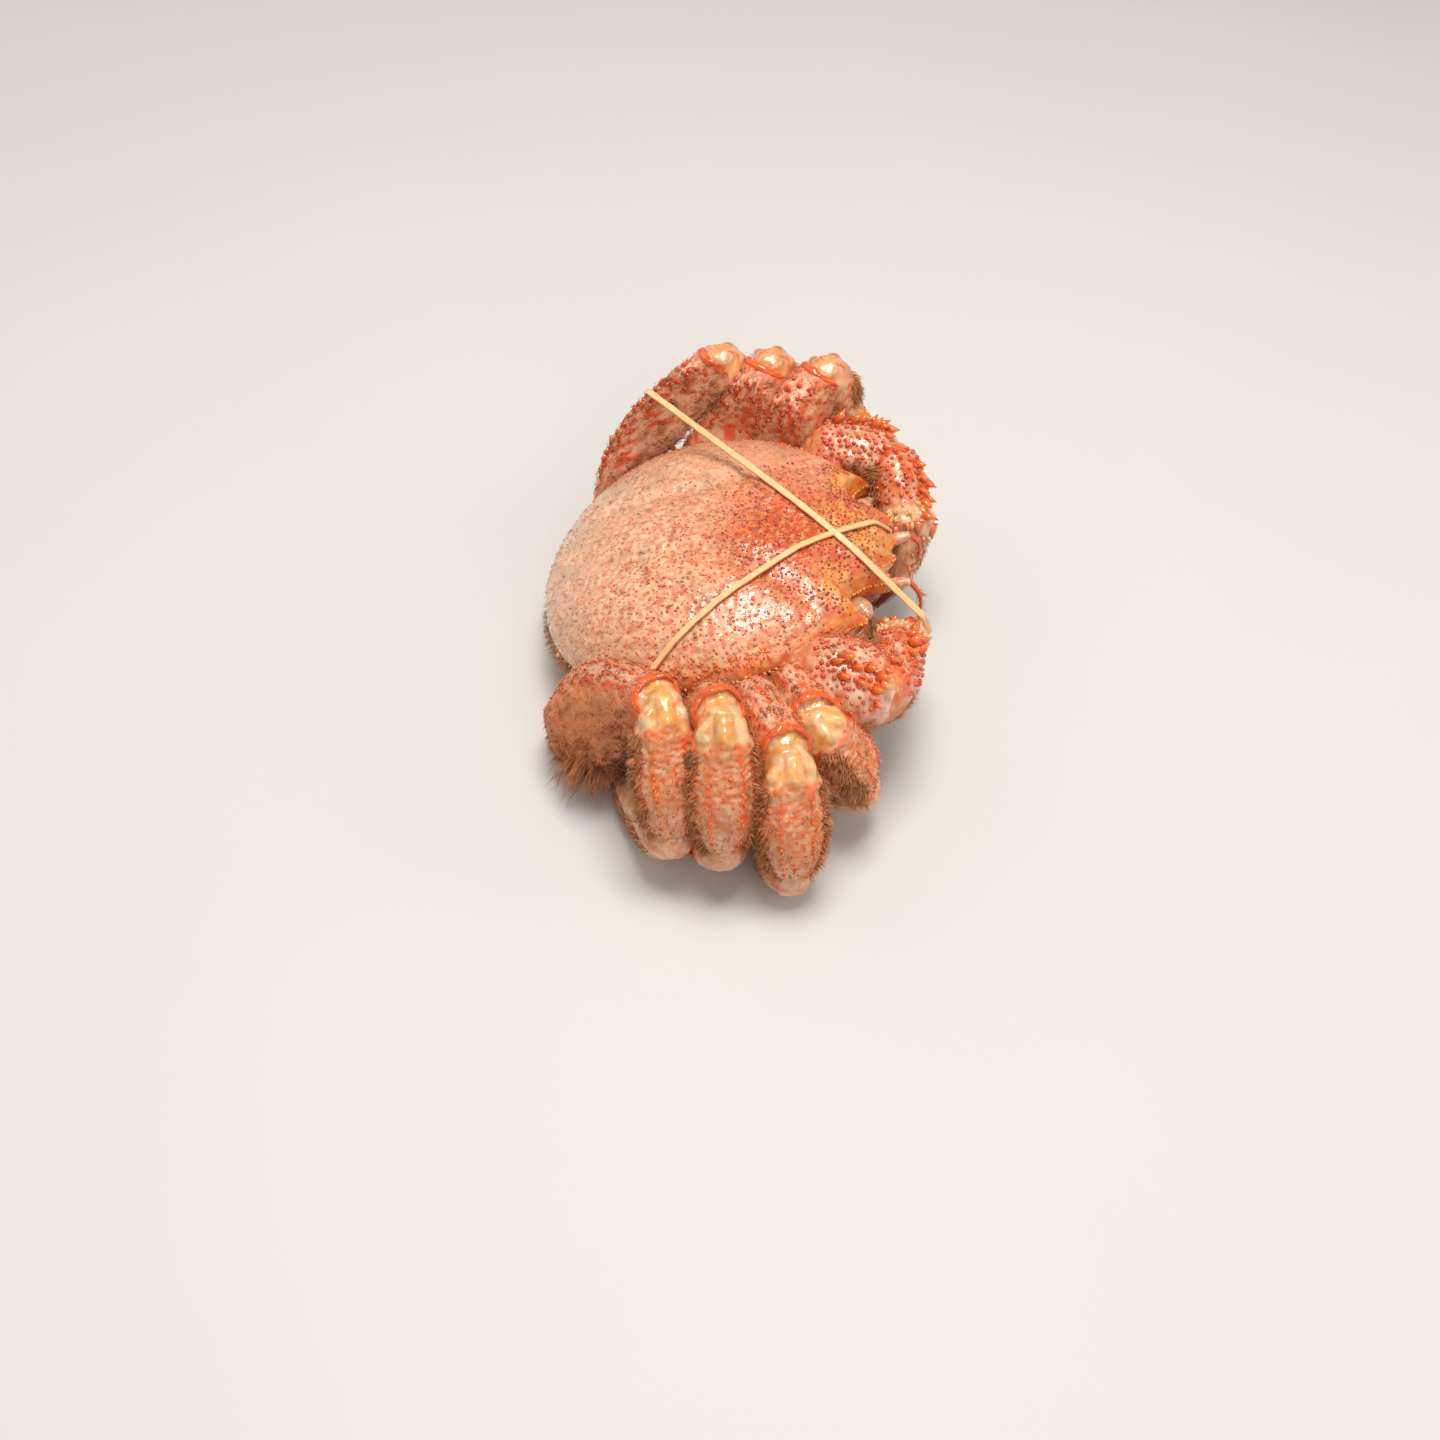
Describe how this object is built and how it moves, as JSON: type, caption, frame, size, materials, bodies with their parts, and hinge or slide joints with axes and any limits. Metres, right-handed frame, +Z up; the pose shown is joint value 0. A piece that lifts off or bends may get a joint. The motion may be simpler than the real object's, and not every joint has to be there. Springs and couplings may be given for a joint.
{
  "type": "horsehair crab",
  "caption": "Boiled horsehair crab at life size, legs folded under the body, bristly spiny legs and claws, tied with two flat rubber bands.",
  "frame": {"origin": "centre of the bounding box, on the floor that the crab rests on", "axes": "-Y is forward, where the mouth points; +X is the crab's left; +Z is up"},
  "size_m": [0.1716, 0.1152, 0.0706],
  "materials": {
    "shell": "wet, beige to salmon shell with orange-red tubercles",
    "under_shell": "pale underside",
    "leg_shell": "wet, bristly shell with orange-red granules",
    "claw_shell": "pale shell with red beads and yellow teeth",
    "mouth": "satin",
    "eye": "satin",
    "antenna": "satin",
    "band": "matte"
  },
  "bodies": {
    "root": {"abdomen": "under_shell", "antenna_left": "antenna", "antenna_right": "antenna", "carapace": "shell", "claw_carpus_left": "claw_shell", "claw_carpus_right": "claw_shell", "claw_dactylus_left": "claw_shell", "claw_dactylus_right": "claw_shell", "claw_merus_left": "claw_shell", "claw_merus_right": "claw_shell", "claw_palm_left": "claw_shell", "claw_palm_right": "claw_shell", "eye_left": "eye", "eye_right": "eye", "leg2_carpus_left": "leg_shell", "leg2_carpus_right": "leg_shell", "leg2_dactylus_left": "leg_shell", "leg2_dactylus_right": "leg_shell", "leg2_merus_left": "leg_shell", "leg2_merus_right": "leg_shell", "leg2_propodus_left": "leg_shell", "leg2_propodus_right": "leg_shell", "leg3_carpus_left": "leg_shell", "leg3_carpus_right": "leg_shell", "leg3_dactylus_left": "leg_shell", "leg3_dactylus_right": "leg_shell", "leg3_merus_left": "leg_shell", "leg3_merus_right": "leg_shell", "leg3_propodus_left": "leg_shell", "leg3_propodus_right": "leg_shell", "leg4_carpus_left": "leg_shell", "leg4_carpus_right": "leg_shell", "leg4_dactylus_left": "leg_shell", "leg4_dactylus_right": "leg_shell", "leg4_merus_left": "leg_shell", "leg4_merus_right": "leg_shell", "leg4_propodus_left": "leg_shell", "leg4_propodus_right": "leg_shell", "leg5_carpus_left": "leg_shell", "leg5_carpus_right": "leg_shell", "leg5_dactylus_left": "leg_shell", "leg5_dactylus_right": "leg_shell", "leg5_merus_left": "leg_shell", "leg5_merus_right": "leg_shell", "leg5_propodus_left": "leg_shell", "leg5_propodus_right": "leg_shell", "maxilliped_left": "mouth", "maxilliped_right": "mouth", "rubber_band_a": "band", "rubber_band_b": "band", "thorax": "under_shell"}
  },
  "joints": []
}
